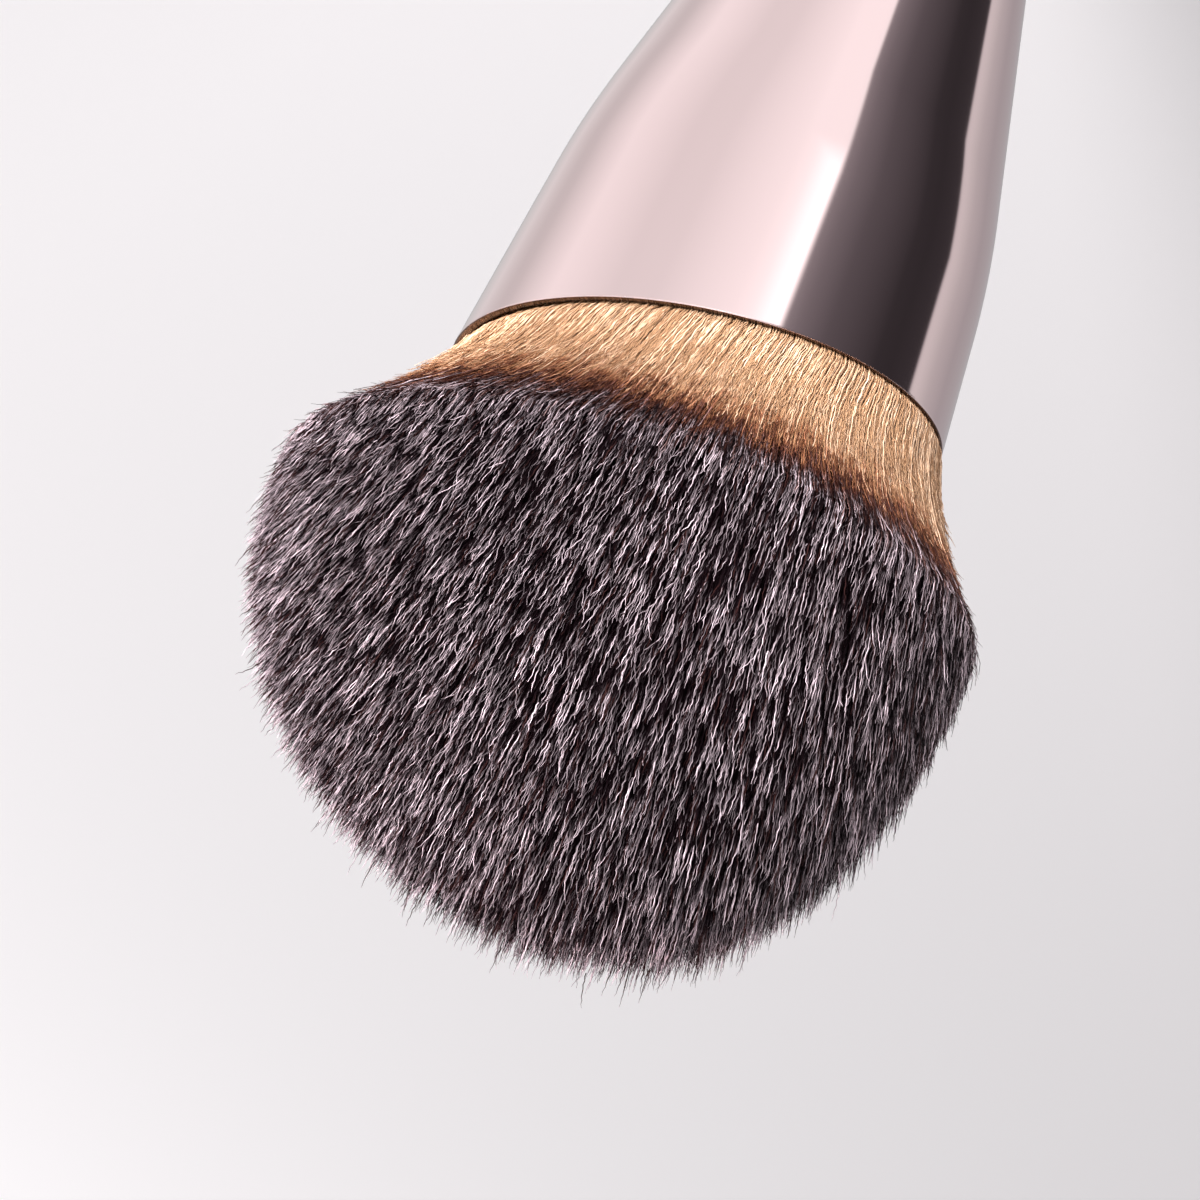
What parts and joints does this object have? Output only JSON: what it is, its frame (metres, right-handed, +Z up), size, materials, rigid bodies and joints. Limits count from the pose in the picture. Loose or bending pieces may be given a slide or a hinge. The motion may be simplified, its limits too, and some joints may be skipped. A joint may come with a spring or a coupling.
{
  "type": "kabuki makeup brush",
  "caption": "Dense domed makeup brush with a flared bristle head, a conical metal ferrule with a kink and a short handle that stands on its flat foot.",
  "frame": {"origin": "centre of the flat foot that the brush stands on", "axes": "+Z up the handle's axis towards the head; +X to the higher side of the slanted mouth"},
  "size_m": [0.0441, 0.0443, 0.1231],
  "materials": {
    "cap_metal": "polished, pink-gold plated",
    "slug_steel": "turned",
    "lacquer": "wood under black gloss lacquer",
    "rose_metal": "mirror-polished, pink-gold plated",
    "cup_plastic": "moulded, brown",
    "glue": "hardened clear amber glue",
    "thread": "wound binding thread",
    "hair": "crimped synthetic hair, tan at the roots and charcoal brown above"
  },
  "bodies": {
    "root": {"end_cap": "cap_metal", "weight_slug": "slug_steel", "handle": "lacquer", "tenon_glue": "glue", "ferrule": "rose_metal", "knot_cup": "cup_plastic", "glue_plug": "glue", "knot_tie": "thread", "bristles": "hair"}
  },
  "joints": []
}
